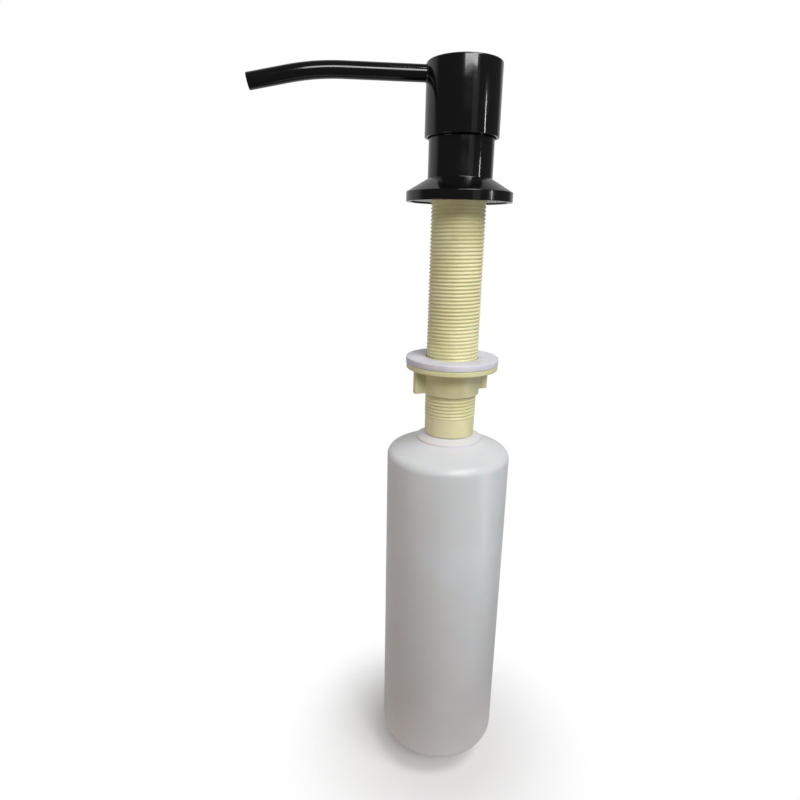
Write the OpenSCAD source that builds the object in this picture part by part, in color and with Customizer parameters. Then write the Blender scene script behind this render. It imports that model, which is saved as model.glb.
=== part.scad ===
// Deck-mounted soap dispenser with a lift-out lotion pump, a threaded shank and a screw-on bottle.
// Millimetres. +Z up on the dispenser's own axis. The origin is the centre of the collar's
// underside, which is the level of the counter top. The spout points along -X.

/* [Pump head] */
// Wall of the head's skirt
head_wall = 1.4; // [1:0.1:2.5]
// Thickness of the head's top
head_roof = 1.2; // [0.8:0.1:3]
// Rounding of the head's top edge
head_round = 0.8; // [0.4:0.1:1]
// How far the head travels down when it is pressed
stroke = 13; // [8:0.5:16]
// Height left between the skirt and the cone at full press
press_clear = 4.6; // [1:0.1:10]
// Height left between the core and the collar at full press
core_clear = 1.5; // [0.5:0.1:3]
// How far the skirt hangs down over the collar
skirt_overlap = 5.1; // [2:0.1:8]
// Thickness of the core under the spout
core_floor = 2.8; // [1.5:0.1:4]
// Outside radius of the core's boss around the stem
boss_r = 6.5; // [6:0.1:8]

/* [Spout] */
// Outside diameter of the spout tube
spout_d = 7.2; // [5:0.1:9]
// Wall of the spout tube
spout_wall = 0.7; // [0.5:0.05:1]
// Distance from the pump's axis to the start of the bend
spout_straight = 53.8; // [30:0.2:80]
// Radius of the bend, on the tube's centre line
bend_r = 119; // [40:1:160]
// Angle that the bend turns down
bend_angle = 12; // [0.5:0.5:40]
// Straight length after the bend
spout_end = 17.2; // [5:0.2:40]
// Gap between the spout's top and the underside of the head's roof
spout_roof_gap = 0.1; // [0.1:0.1:2]
// How far the spout's inner end lies from the pump's axis
spout_root = 8; // [7.5:0.1:12]
// Wall of the soap hose inside the spout
hose_wall = 0.75; // [0.5:0.05:1]
// How far the soap hose stays back from the spout's mouth
hose_back = 0.6; // [0:0.1:3]
// How far the soap hose reaches past the spout into the core
hose_grip = 2.5; // [1:0.1:3]

/* [Collar] */
// Wall of the collar's tube
collar_wall = 2; // [1.5:0.1:4]
// Gap on the radius between the collar and the shank's thread
collar_gap = 0.1; // [0.05:0.01:0.2]
// Diameter of the collar's flange on the counter
flange_d = 50; // [42:1:70]
// Height of the flange's straight rim
rim_h = 4.4; // [3.5:0.1:8]
// Height of the cone above the rim
cone_h = 5.9; // [3:0.1:12]
// Width of the flange's rim, around the recess for the ring under it
rim_w = 2.1; // [1:0.1:4]
// Thickness of the ring under the flange
gasket_t = 2; // [1:0.1:2.4]
// Depth of the ring inside the rim
gasket_inset = 0.8; // [0.2:0.1:1]
// Small bevel on the collar's edges
edge_bevel = 0.3; // [0.1:0.1:0.6]

/* [Shank] */
// Outside diameter of the shank's thread
shank_d = 26; // [25.5:0.5:32]
// Pitch of the shank's thread
thread_pitch = 1.75; // [1.5:0.05:3]
// Depth of the shank's thread
thread_depth = 0.75; // [0.4:0.05:1]
// Length of the shank below the counter
shank_len = 114; // [90:1:160]
// Length of the plain end below the thread
plain_end = 8.8; // [5:0.1:20]
// How much thinner the plain end is than the thread, on the radius
plain_relief = 0.25; // [0.1:0.05:0.5]
// Length of the shank inside the collar
shank_rise = 20; // [14:0.5:24]
// Wall of the shank under its thread
shank_wall = 2.05; // [1.2:0.05:2.2]
// Depth of the socket that the bottle screws into
socket_depth = 15.5; // [12:0.5:20]
// Wall of the shank around that socket
socket_wall = 1.3; // [1:0.1:1.6]

/* [Nut and washer] */
// Distance from the collar's underside down to the washer's top face
washer_drop = 73.9; // [2:0.1:74]
// Diameter of the washer
washer_d = 46.6; // [36:0.2:60]
// Thickness of the washer
washer_t = 3; // [1.5:0.1:4]
// Diameter of the nut's flange
nut_flange_d = 46.2; // [34:0.2:50]
// Thickness of the nut's flange
nut_flange_t = 2.7; // [1.5:0.1:4]
// Height of the whole nut
nut_h = 15.6; // [10:0.2:16.4]
// Wall of the nut's hub at its lower end
nut_wall = 1.2; // [1:0.1:3]
// How much wider the hub is under the flange, on the radius
nut_taper = 0.8; // [0:0.1:2]
// Distance across the two wings
wing_span = 41; // [34:0.5:48]
// Thickness of a wing
wing_t = 3; // [2:0.1:5]
// How far the wings stop above the hub's lower end
wing_lift = 0.6; // [0:0.1:4]
// Direction of the wings, counted from +X
wing_turn = 16; // [0:1:180]

/* [Bottle] */
// Outside diameter of the bottle
bottle_d = 64.2; // [50:1:90]
// Height of the bottle from the base to the ledge at its neck
bottle_h = 183.5; // [120:0.5:260]
// Wall of the bottle
bottle_wall = 1.2; // [0.8:0.1:2]
// Wall of the bottle's neck
neck_wall = 1.3; // [1:0.1:1.5]
// Depth of the neck's thread
neck_thread_depth = 0.7; // [0.4:0.05:0.8]
// Pitch of the neck's thread
neck_pitch = 3.2; // [2.5:0.1:4]
// Height of the flare between the shank's end and the ledge
flare_h = 1.9; // [1:0.1:8]
// Diameter of the ledge around the neck
ledge_d = 33.8; // [32:0.2:38]
// Height of the ledge's step
ledge_h = 1.1; // [0.6:0.1:2]
// Slope of the shoulder
shoulder_slope = 24.5; // [5:0.5:40]
// Radius of the shoulder's corner
shoulder_r = 5; // [3:0.5:12]
// Radius of the base's corner
base_r = 5; // [3:0.5:8]
// Rise of the hollow in the base
punt_h = 2.5; // [1:0.5:6]
// Thickness of the seal in the neck's socket
bottle_seal_t = 1.3; // [0.8:0.1:2]

/* [Pump] */
// Radius of the pump barrel's bore
barrel_bore_r = 7; // [6.6:0.1:7.2]
// Wall of the pump barrel
barrel_wall = 1; // [0.8:0.1:1.3]
// Outside radius of the hollow stem
stem_r = 4.25; // [4:0.05:4.5]
// Radius of the stem's passage
stem_bore_r = 2; // [1.5:0.1:2.2]
// Thickness of the flange that the pump hangs by
hang_flange_t = 1.6; // [1:0.1:2.5]
// Thickness of the gasket under that flange
pump_gasket_t = 1; // [0.6:0.1:2]
// Height of the screw cap over the pump's flange
cap_h = 5.4; // [4:0.1:6]
// Thickness of the cap's top
cap_roof = 2; // [1:0.1:2.5]
// Wall of the guide sleeve inside the cap
sleeve_wall = 1.2; // [0.8:0.1:1.3]
// Length of the guide sleeve below the cap's roof
sleeve_len = 16; // [10:0.5:18]
// Length of the piston's seal
seal_len = 10; // [8:0.5:14]
// Thickness of the piston's flange
piston_flange_t = 3; // [2:0.1:5]
// Length of the return spring at rest
spring_len = 26; // [24:0.5:34]
// Diameter of the spring's wire
spring_wire = 1; // [0.6:0.1:1.2]
// Mean radius of the spring's coils
spring_r = 5.2; // [4.8:0.1:5.4]
// Number of coils in the spring
spring_turns = 7.5; // [6:0.5:9]
// Thickness of the cage over the inlet ball
cage_t = 3; // [2:0.1:5]
// Radius of the hole under the inlet ball
inlet_seat_r = 2; // [1.5:0.1:2.1]
// Radius of the inlet ball
inlet_ball_r = 2.8; // [2.4:0.1:3]
// Radius of the hole under the outlet ball
outlet_seat_r = 1.5; // [1:0.1:1.6]
// Radius of the outlet ball
outlet_ball_r = 2.4; // [2.2:0.1:2.5]
// How far each ball lifts off its seat
ball_lift = 3; // [2:0.1:3]
// Outside radius of the dip tube
dip_r = 3.2; // [2.8:0.1:3.4]
// Wall of the dip tube
dip_wall = 0.9; // [0.6:0.1:1.1]
// Depth of the dip tube in the barrel's tail
dip_grip = 12; // [8:0.5:16]
// Gap between the dip tube's lower end and the bottle's floor
dip_gap = 4; // [2:0.5:20]

/* [Fits] */
// Gap on the radius of pieces that are pushed together
push_gap = 0.05; // [0.02:0.01:0.1]
// Running gap on the radius of pieces that turn or slide in each other
run_gap = 0.06; // [0.03:0.01:0.1]
// Loose gap on the radius between pieces that only pass each other
loose_gap = 0.3; // [0.2:0.05:0.6]
// Gap on the radius between the head's skirt and the collar
skirt_gap = 0.6; // [0.4:0.05:1]
// Gap between flat faces that rest on each other across a joint
face_gap = 0.05; // [0.02:0.01:0.1]

/* [Hidden] */
$fn = 96;
// How far a cutting shape runs past what it cuts
cut = 1;
// How far a ball at the top of its lift stays off the stop above it
lift_gap = 0.15;
// How far the stem's socket reaches above the spout's lowest line
socket_reach = 0.7;

// Shank and collar
shank_r = shank_d / 2;
thread_root_r = shank_r - thread_depth;
plain_r = shank_r - plain_relief;
shank_bore_r = thread_root_r - shank_wall;
shank_end = -shank_len;
thread_end = shank_end + plain_end;
socket_r = plain_r - socket_wall;
socket_top = shank_end + socket_depth;
collar_bore_r = shank_r + collar_gap;
collar_r = collar_bore_r + collar_wall;
flange_r = flange_d / 2;
recess_r = flange_r - rim_w;
recess_h = gasket_inset + gasket_t;
cone_top = rim_h + cone_h;

// Head, from the skirt's lower edge up
skirt_r = collar_r + skirt_gap;
head_r = skirt_r + head_wall;
head_bottom = cone_top + press_clear + stroke;
collar_top = head_bottom + skirt_overlap;
core_bottom = collar_top + stroke + core_clear;
spout_r = spout_d / 2;
spout_z = core_bottom + core_floor + spout_r;
roof_under = spout_z + spout_r + spout_roof_gap;
head_top = roof_under + head_roof;
hose_r = spout_r - spout_wall - push_gap;
hose_bore_r = hose_r - hose_wall;
socket_roof = core_bottom + core_floor + socket_reach;

// Pump, from the gasket on the shank's top down
hang_r = collar_bore_r - loose_gap;
hang_z = shank_rise + pump_gasket_t;
cap_z = hang_z + hang_flange_t;
cap_top = cap_z + cap_h;
cap_under = cap_top - cap_roof;
barrel_r = barrel_bore_r + barrel_wall;
sleeve_r = stem_r + run_gap;
sleeve_z = cap_under - sleeve_len;
rib_t = 1.5;
rib_r = stem_r + 1;
rib_top = sleeve_z - 0.5;
seal_top = rib_top - rib_t;
seal_z = seal_top - seal_len;
piston_z = seal_z - piston_flange_t;
cage_top = piston_z - spring_len;
cage_z = cage_top - cage_t;
boss_z = cap_top + stroke + 1;

// Balls on their seats
seat_gap = 0.1;
outlet_seat_z = seal_z + 3;
outlet_rise = sqrt(pow(outlet_ball_r, 2) - pow(outlet_seat_r, 2)) + seat_gap;
outlet_z = outlet_seat_z + outlet_rise;
chamber_top = outlet_z + outlet_ball_r + ball_lift + lift_gap;
chamber_r = outlet_ball_r + 0.5;
inlet_rise = sqrt(pow(inlet_ball_r, 2) - pow(inlet_seat_r, 2)) + seat_gap;
inlet_chamber_r = inlet_ball_r + 0.8;
inlet_z = cage_z - lift_gap - ball_lift - inlet_ball_r;
inlet_seat_z = inlet_z - inlet_rise;
tail_wall = 1.5;
dip_top = inlet_seat_z - 3;
tail_r = dip_r + push_gap + tail_wall;
tail_z = dip_top - dip_grip;

// Nut and washer
washer_z = -washer_drop - washer_t;
nut_top = washer_z - face_gap;
nut_z = nut_top - nut_h;
nut_bore_r = shank_r + run_gap;
hub_r = nut_bore_r + nut_wall;

// Bottle
bottle_r = bottle_d / 2;
neck_r = socket_r - loose_gap;
neck_root_r = neck_r - neck_thread_depth;
neck_bore_r = neck_root_r - neck_wall;
neck_top = socket_top - 2 * face_gap - bottle_seal_t;
flare_top = shank_end - loose_gap;
ledge_z = flare_top - flare_h;
ledge_r = ledge_d / 2;
bottle_z = ledge_z - bottle_h;
floor_z = bottle_z + punt_h + bottle_wall;
base_ring = 3;
punt_run = 4;
dip_end = floor_z + dip_gap;

// ---- Shared shapes ----

// Points of an arc round (x, y), from angle a0 to angle a1
function arc(x, y, r, a0, a1, n = 8) =
  [for (i = [0 : n]) [x + r * cos(a0 + (a1 - a0) * i / n), y + r * sin(a0 + (a1 - a0) * i / n)]];

// The same points in the other order
function reversed(p) = [for (i = [len(p) - 1 : -1 : 0]) p[i]];

// One side of a ring-cut thread between two heights, counted from the lower end up
function thread_side(r, depth, pitch, z0, z1) =
  [for (i = [0 : floor((z1 - z0) / pitch) - 1]) each [
    [r, z0 + pitch * (i + 0.2)],
    [r - depth, z0 + pitch * (i + 0.45)],
    [r - depth, z0 + pitch * (i + 0.55)],
    [r, z0 + pitch * (i + 0.8)]
  ]];

// A plain ring or tube
module ring(outer, inner, z0, z1) {
  translate([0, 0, z0]) difference() {
    cylinder(r = outer, h = z1 - z0);
    translate([0, 0, -cut]) cylinder(r = inner, h = z1 - z0 + 2 * cut);
  }
}

// A solid round bar along the spout's route, from the given start to the mouth less back.
// The straight stretches lap the bend a little, and the bend is a hair thinner inside the lap.
module spout_bar(r, start, back) {
  lap = 0.05;
  seam = 0.01;
  translate([-start, 0, spout_z]) rotate([0, -90, 0])
    cylinder(r = r, h = spout_straight - start + lap);
  translate([-spout_straight, 0, spout_z - bend_r]) rotate([90, 0, 0]) rotate([0, 0, 90]) {
    rotate_extrude(angle = bend_angle) translate([bend_r, 0]) circle(r = r - seam);
    rotate([0, 0, bend_angle]) translate([bend_r, -lap, 0]) rotate([-90, 0, 0])
      cylinder(r = r, h = spout_end - back + lap);
  }
}

// ---- Head ----

// Turned cap: roof, skirt and the hole that the spout is brazed into
module pump_head() {
  color("#1a1a1c") difference() {
    rotate_extrude() polygon(concat(
      [[0, head_top]],
      reversed(arc(head_r - head_round, head_top - head_round, head_round, 0, 90)),
      [[head_r, head_bottom], [skirt_r, head_bottom], [skirt_r, roof_under], [0, roof_under]]
    ));
    translate([-spout_root, 0, spout_z]) rotate([0, -90, 0])
      cylinder(r = spout_r + push_gap, h = head_r);
  }
}

// Bent tube that carries the soap out over the sink
module spout_tube() {
  color("#1a1a1c") difference() {
    spout_bar(spout_r, spout_root, 0);
    // the same route, run on past both ends
    spout_bar(spout_r - spout_wall, spout_root - cut, -cut);
  }
}

// Plastic hose from the core to the spout's mouth
module spout_hose() {
  color("#e8e8e2") difference() {
    spout_bar(hose_r, spout_root - hose_grip, hose_back);
    spout_bar(hose_bore_r, spout_root - hose_grip - cut, hose_back - cut);
  }
}

// Plastic core: fills the head, holds the stem and leads the soap into the hose
module head_core() {
  passage_r = stem_bore_r - 0.1;
  channel_r = spout_r + push_gap;
  core_top = roof_under - push_gap;
  color("#d8d8d2") difference() {
    union() {
      translate([0, 0, core_bottom]) cylinder(r = skirt_r - push_gap, h = core_top - core_bottom);
      translate([0, 0, boss_z]) cylinder(r = boss_r, h = core_bottom - boss_z + cut);
    }
    // socket for the stem and the passage above it
    translate([0, 0, boss_z - cut]) cylinder(r = stem_r + push_gap, h = socket_roof - boss_z + cut);
    cylinder(r = stem_bore_r, h = spout_z);
    // open channel for the spout's root
    translate([-spout_root + push_gap, 0, spout_z]) rotate([0, -90, 0])
      cylinder(r = channel_r, h = skirt_r);
    translate([-skirt_r - cut, -channel_r, spout_z])
      cube([skirt_r + cut - spout_root + push_gap, 2 * channel_r, core_top]);
    // port for the hose
    translate([-spout_root + hose_grip + push_gap, 0, spout_z]) rotate([0, -90, 0])
      cylinder(r = hose_r + push_gap, h = hose_grip + cut);
    translate([0, 0, spout_z]) rotate([0, -90, 0]) cylinder(r = passage_r, h = spout_root);
  }
}

// ---- Collar and shank ----

// Turned collar: tube, cone and flange in one, recessed under the flange
module collar() {
  b = edge_bevel;
  color("#1a1a1c") rotate_extrude() polygon([
    [collar_bore_r, recess_h], [collar_bore_r, collar_top],
    [collar_r - b, collar_top], [collar_r, collar_top - b],
    [collar_r, cone_top], [flange_r - b, rim_h], [flange_r, rim_h - b],
    [flange_r, b], [flange_r - b, 0], [recess_r, 0], [recess_r, recess_h]
  ]);
}

// White ring in the recess under the flange
module flange_gasket() {
  color("#ececea")
    ring(recess_r - push_gap, shank_r + loose_gap, gasket_inset, recess_h);
}

// Threaded tube through the counter: plain inside the collar, a socket at the lower end
module shank() {
  color("#cfc796") rotate_extrude() polygon(concat(
    [[shank_bore_r, socket_top], [socket_r, socket_top], [socket_r, shank_end]],
    [[plain_r, shank_end], [plain_r, thread_end]],
    thread_side(shank_r, thread_depth, thread_pitch, thread_end, 0),
    [[shank_r, shank_rise], [shank_bore_r, shank_rise]]
  ));
}

// ---- Nut and washer ----

// Flat washer that bears on the counter's underside
module nut_washer() {
  color("#e6e4ec") ring(washer_d / 2, shank_r + loose_gap, washer_z, -washer_drop);
}

// Flanged nut with two wings for the fingers
module lock_nut() {
  wing_h = nut_h - nut_flange_t - wing_lift;
  color("#cfc796") difference() {
    union() {
      translate([0, 0, nut_top - nut_flange_t]) cylinder(d = nut_flange_d, h = nut_flange_t);
      translate([0, 0, nut_z])
        cylinder(r1 = hub_r, r2 = hub_r + nut_taper, h = nut_h - nut_flange_t);
      rotate([0, 0, wing_turn])
        translate([-wing_span / 2, -wing_t / 2, nut_z + wing_lift])
        cube([wing_span, wing_t, wing_h]);
    }
    translate([0, 0, nut_z - cut]) cylinder(r = nut_bore_r, h = nut_h + 2 * cut);
  }
}

// ---- Bottle ----

// Flat seal between the bottle's neck and the end of the shank's socket
module bottle_seal() {
  color("#b8b8b4")
    ring(neck_r, neck_bore_r, neck_top + face_gap, neck_top + face_gap + bottle_seal_t);
}

// Shoulder, side and base of the bottle, offset inwards by w, from the shoulder down
function bottle_side(w) =
  let (
    s = shoulder_slope,
    x = bottle_r - shoulder_r,
    start_x = x + shoulder_r * sin(s),
    drop = (start_x - ledge_r) * tan(s),
    y = ledge_z - ledge_h - drop - shoulder_r * cos(s)
  )
  concat(
    arc(x, y, shoulder_r - w, 90 - s, 0, 10),
    arc(bottle_r - base_r, bottle_z + base_r, base_r - w, 0, -90, 8),
    [
      [bottle_r - base_r - base_ring, bottle_z + w],
      [bottle_r - base_r - base_ring - punt_run, bottle_z + w + punt_h],
      [0, bottle_z + w + punt_h]
    ]
  );

// Blown bottle with a threaded neck, a ledge round it and a hollow base
module bottle() {
  lip = 0.4;
  root_z = ledge_z - ledge_h - bottle_wall / cos(shoulder_slope);
  neck_base = flare_top + 1;
  color("#dfe1e2") rotate_extrude() polygon(concat(
    [[neck_bore_r, flare_top - flare_h / 2], [neck_bore_r, neck_top], [neck_r - lip, neck_top]],
    reversed(thread_side(neck_r, neck_thread_depth, neck_pitch, neck_base, neck_top - lip)),
    [[neck_r, flare_top], [plain_r, flare_top]],
    [[ledge_r, ledge_z], [ledge_r, ledge_z - ledge_h]],
    bottle_side(0),
    reversed(bottle_side(bottle_wall)),
    [[ledge_r - bottle_wall, root_z]]
  ));
}

// ---- Pump ----

// Screw cap that closes the barrel and guides the stem
module pump_cap() {
  color("#f0f0ee") {
    difference() {
      union() {
        ring(hang_r, barrel_r + push_gap, cap_z, cap_under);
        translate([0, 0, cap_under]) cylinder(r = hang_r, h = cap_roof);
        translate([0, 0, sleeve_z])
          cylinder(r = sleeve_r + sleeve_wall, h = sleeve_len + cap_roof / 2);
      }
      translate([0, 0, sleeve_z - cut])
        cylinder(r = sleeve_r, h = cap_top - sleeve_z + 2 * cut);
    }
  }
}

// Gasket between the pump's flange and the shank's top
module pump_gasket() {
  color("#9a9a9a") ring(hang_r, barrel_r + loose_gap, shank_rise, hang_z);
}

// Pump barrel: hanging flange, bore, ball chamber and a tail that grips the dip tube
module pump_barrel() {
  vent_r = 0.8;
  vent_z = shank_rise - 3;
  chamber_wall = inlet_chamber_r + barrel_wall;
  color("#eef0ee") difference() {
    rotate_extrude() polygon([
      [barrel_bore_r, cage_z], [barrel_bore_r, cap_under - push_gap],
      [barrel_r, cap_under - push_gap], [barrel_r, cap_z], [hang_r, cap_z], [hang_r, hang_z],
      [barrel_r, hang_z], [barrel_r, cage_z - barrel_wall],
      [chamber_wall, cage_z - barrel_wall - 3], [chamber_wall, inlet_seat_z - 1],
      [tail_r, dip_top - 1], [tail_r, tail_z], [dip_r + push_gap, tail_z],
      [dip_r + push_gap, dip_top], [inlet_seat_r, dip_top], [inlet_seat_r, inlet_seat_z],
      [inlet_chamber_r, inlet_seat_z], [inlet_chamber_r, cage_z]
    ]);
    translate([0, 0, vent_z]) rotate([0, 90, 0]) cylinder(r = vent_r, h = barrel_r + cut);
  }
}

// Hollow stem from the head down to the piston, with the outlet ball's chamber in its foot
module pump_stem() {
  color("#f0f0ee") rotate_extrude() polygon([
    [chamber_r, seal_z], [stem_r, seal_z], [stem_r, seal_top], [rib_r, seal_top],
    [rib_r, rib_top], [stem_r, rib_top], [stem_r, socket_roof - push_gap],
    [stem_bore_r, socket_roof - push_gap], [stem_bore_r, chamber_top + 1],
    [chamber_r, chamber_top]
  ]);
}

// Piston: a flange under the seal and a spigot that plugs the stem and seats the outlet ball
module piston() {
  flange_r = barrel_bore_r - 2 * loose_gap;
  color("#f0f0ee") rotate_extrude() polygon([
    [outlet_seat_r, piston_z], [flange_r, piston_z], [flange_r, seal_z - push_gap],
    [chamber_r - push_gap, seal_z - push_gap], [chamber_r - push_gap, outlet_seat_z],
    [outlet_seat_r, outlet_seat_z]
  ]);
}

// Soft double-lipped seal round the stem's foot
module piston_seal() {
  lip_r = barrel_bore_r - run_gap;
  lip_t = 0.7;
  waist_r = lip_r - lip_t;
  lip_h = 1.5;
  color("#e4e6e4") rotate_extrude() polygon([
    [stem_r + push_gap, seal_z], [lip_r, seal_z], [lip_r, seal_z + lip_h],
    [waist_r, seal_z + 2 * lip_h], [waist_r, seal_top - 2 * lip_h],
    [lip_r, seal_top - lip_h], [lip_r, seal_top - push_gap],
    [stem_r + push_gap, seal_top - push_gap]
  ]);
}

// Height of the wire's centre at t coils up the spring; the last coil at each end is closed
function coil_z(t, low, high) =
  let (
    closed = 1.1 * spring_wire,
    body = (high - low - 2 * closed) / (spring_turns - 2)
  )
  t < 1 ? low + closed * t :
  t > spring_turns - 1 ? high - closed * (spring_turns - t) :
  low + closed + body * (t - 1);

// Return spring, standing on the ball cage and bearing on the piston
module return_spring() {
  steps = 16;
  sides = 8;
  low = cage_top + push_gap + spring_wire / 2;
  high = piston_z - push_gap - spring_wire / 2;
  rings = spring_turns * steps;
  points = [for (i = [0 : rings]) let (a = 360 * i / steps, z = coil_z(i / steps, low, high))
    for (j = [0 : sides - 1]) let (b = 360 * j / sides, q = spring_r + spring_wire / 2 * cos(b))
      [q * cos(a), q * sin(a), z + spring_wire / 2 * sin(b)]];
  skin = [for (i = [0 : rings - 1]) for (j = [0 : sides - 1]) let (k = (j + 1) % sides)
    [i * sides + j, i * sides + k, (i + 1) * sides + k, (i + 1) * sides + j]];
  ends = [
    [for (j = [sides - 1 : -1 : 0]) j],
    [for (j = [0 : sides - 1]) rings * sides + j]
  ];
  color("#b9bcc0") polyhedron(points = points, faces = concat(skin, ends), convexity = 10);
}

// Slotted cage that keeps the inlet ball down and seats the spring
module ball_cage() {
  slot_w = 1.2;
  color("#f0f0ee") difference() {
    ring(barrel_bore_r - push_gap, inlet_seat_r / 2, cage_z, cage_top);
    for (a = [0, 90])
      rotate([0, 0, a]) translate([-inlet_chamber_r, -slot_w / 2, cage_z - cut])
        cube([2 * inlet_chamber_r, slot_w, cage_t + 2 * cut]);
  }
}

// Ball of the inlet valve
module inlet_ball() {
  color("#c9ccd0") translate([0, 0, inlet_z]) sphere(r = inlet_ball_r);
}

// Ball of the outlet valve
module outlet_ball() {
  color("#c9ccd0") translate([0, 0, outlet_z]) sphere(r = outlet_ball_r);
}

// Dip tube down to the bottle's floor, cut slanting so that it can't close itself off
module dip_tube() {
  slant = 45;
  block = 6 * dip_r;
  color("#eef0ee") difference() {
    ring(dip_r, dip_r - dip_wall, dip_end, dip_top - push_gap);
    // everything under a plane that rises from the tube's lowest point towards +X
    translate([-dip_r, 0, dip_end]) rotate([0, -slant, 0])
      translate([-cut, -block / 2, -block]) cube(block);
  }
}

pump_head();
spout_tube();
spout_hose();
head_core();
collar();
flange_gasket();
shank();
nut_washer();
lock_nut();
bottle_seal();
bottle();
pump_cap();
pump_gasket();
pump_barrel();
pump_stem();
piston();
piston_seal();
return_spring();
ball_cage();
inlet_ball();
outlet_ball();
dip_tube();
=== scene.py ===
from math import cos, pi, radians, sin, sqrt, tan

import bpy
from mathutils import Euler, Matrix, Vector


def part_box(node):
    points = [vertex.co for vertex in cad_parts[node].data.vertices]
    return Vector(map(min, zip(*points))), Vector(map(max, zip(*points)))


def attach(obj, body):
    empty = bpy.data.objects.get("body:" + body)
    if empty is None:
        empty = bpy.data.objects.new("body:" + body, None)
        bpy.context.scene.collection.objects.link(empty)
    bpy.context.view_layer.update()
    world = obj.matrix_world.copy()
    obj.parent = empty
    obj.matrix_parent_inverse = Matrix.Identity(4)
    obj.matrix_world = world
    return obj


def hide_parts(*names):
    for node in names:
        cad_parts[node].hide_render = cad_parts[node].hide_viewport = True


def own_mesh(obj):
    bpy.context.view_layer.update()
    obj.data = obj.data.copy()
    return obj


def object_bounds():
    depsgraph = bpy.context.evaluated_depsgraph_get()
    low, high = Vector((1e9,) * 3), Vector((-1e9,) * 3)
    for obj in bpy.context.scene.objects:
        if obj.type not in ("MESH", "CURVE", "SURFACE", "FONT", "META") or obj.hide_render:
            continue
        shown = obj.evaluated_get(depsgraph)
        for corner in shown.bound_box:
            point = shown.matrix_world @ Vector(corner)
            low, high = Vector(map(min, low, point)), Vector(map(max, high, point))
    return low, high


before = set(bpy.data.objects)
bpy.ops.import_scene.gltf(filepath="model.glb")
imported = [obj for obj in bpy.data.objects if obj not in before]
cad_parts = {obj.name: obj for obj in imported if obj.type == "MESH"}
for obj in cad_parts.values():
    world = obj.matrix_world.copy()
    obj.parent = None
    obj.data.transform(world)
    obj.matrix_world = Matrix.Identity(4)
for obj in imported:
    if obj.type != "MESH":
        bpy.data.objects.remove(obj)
cad_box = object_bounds()

# ---- Pump head ----
# The cap that the hand presses: a brass cup turned in one piece, plated gloss black, with a
# flat top and a skirt that hides the pump. It is pushed over the plastic core inside it.
mm = 0.001


def node(tree, kind, feeds=(), **settings):
    """Adds a node to a tree; feeds holds its inputs, each one a value or another node's output."""
    made = tree.nodes.new(kind)
    for key, value in settings.items():
        setattr(made, key, value)
    for key, value in dict(feeds).items():
        if isinstance(value, bpy.types.NodeSocket):
            tree.links.new(value, made.inputs[key])
        else:
            made.inputs[key].default_value = value
    return made


def finish(name, colour, roughness, **sockets):
    """A new material with one principled shader, whose other sockets are given by name."""
    made = bpy.data.materials.new(name)
    made.use_nodes = True
    shader = made.node_tree.nodes["Principled BSDF"]
    shader.inputs["Base Color"].default_value = (*colour, 1)
    shader.inputs["Roughness"].default_value = roughness
    for key, value in sockets.items():
        shader.inputs[key.replace("_", " ").title()].default_value = value
    return made


def own_place(made, stretch=(1, 1, 1)):
    """The piece's own coordinates in metres, stretched by a factor along each axis."""
    place = node(made.node_tree, "ShaderNodeTexCoord").outputs["Object"]
    return node(made.node_tree, "ShaderNodeMapping", {"Vector": place, "Scale": stretch}).outputs[0]


def grain(made, size, detail=3, stretch=(1, 1, 1)):
    """Soft noise whose patches are about the given size across."""
    place = own_place(made, stretch)
    feeds = {"Vector": place, "Scale": 1 / size, "Detail": detail}
    return node(made.node_tree, "ShaderNodeTexNoise", feeds).outputs["Fac"]


def level(made, value, low, high, start=0.35, end=0.65):
    """A value spread between two levels, as it runs from start to end."""
    feeds = {"Value": value, "From Min": start, "From Max": end, "To Min": low, "To Max": high}
    ramp = node(made.node_tree, "ShaderNodeMapRange", feeds, interpolation_type="SMOOTHSTEP")
    return ramp.outputs["Result"]


def blend_colours(made, share, first, second):
    """A colour between two, by a share from 0 to 1; each is a colour or another node's output."""
    def plain(colour):
        return colour if isinstance(colour, bpy.types.NodeSocket) else (*colour, 1)
    feeds = {0: share, 6: plain(first), 7: plain(second)}
    return node(made.node_tree, "ShaderNodeMix", feeds, data_type="RGBA").outputs[2]


def feed(made, socket, value):
    """Links a value to the material's shader."""
    shader = made.node_tree.nodes["Principled BSDF"]
    made.node_tree.links.new(value, shader.inputs[socket])


def relief(made, heights, depth):
    """Fine surface relief: each height is a value from 0 to 1, and depth its size in metres."""
    normal = None
    for height, size in zip(heights, depth):
        feeds = {"Height": height, "Distance": size, "Strength": 1.0}
        if normal:
            feeds["Normal"] = normal
        normal = node(made.node_tree, "ShaderNodeBump", feeds).outputs["Normal"]
    feed(made, "Normal", normal)


def softened(corners, closed=True, steps=4):
    """An outline's points: each corner is (radius, height) or (radius, height, rounding)."""
    points, count = [], len(corners)
    for i, (x, y, *rounding) in enumerate(corners):
        corner = Vector((x, y))
        if not rounding or (not closed and i in (0, count - 1)):
            points.append(corner)
            continue
        before = (Vector(corners[i - 1][:2]) - corner).normalized()
        after = (Vector(corners[(i + 1) % count][:2]) - corner).normalized()
        half = before.angle(after) / 2
        centre = corner + (before + after).normalized() * rounding[0] / sin(half)
        start = corner + before * rounding[0] / tan(half) - centre
        end = corner + after * rounding[0] / tan(half) - centre
        arc = start.angle_signed(end)
        points += [centre + Matrix.Rotation(-arc * k / steps, 2) @ start for k in range(steps + 1)]
    return points


def new_piece(name, vertices, faces):
    """A mesh object at the origin, linked to the scene."""
    mesh = bpy.data.meshes.new(name)
    mesh.from_pydata(vertices, [], faces)
    mesh.update()
    piece = bpy.data.objects.new(name, mesh)
    bpy.context.scene.collection.objects.link(piece)
    return piece


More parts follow.
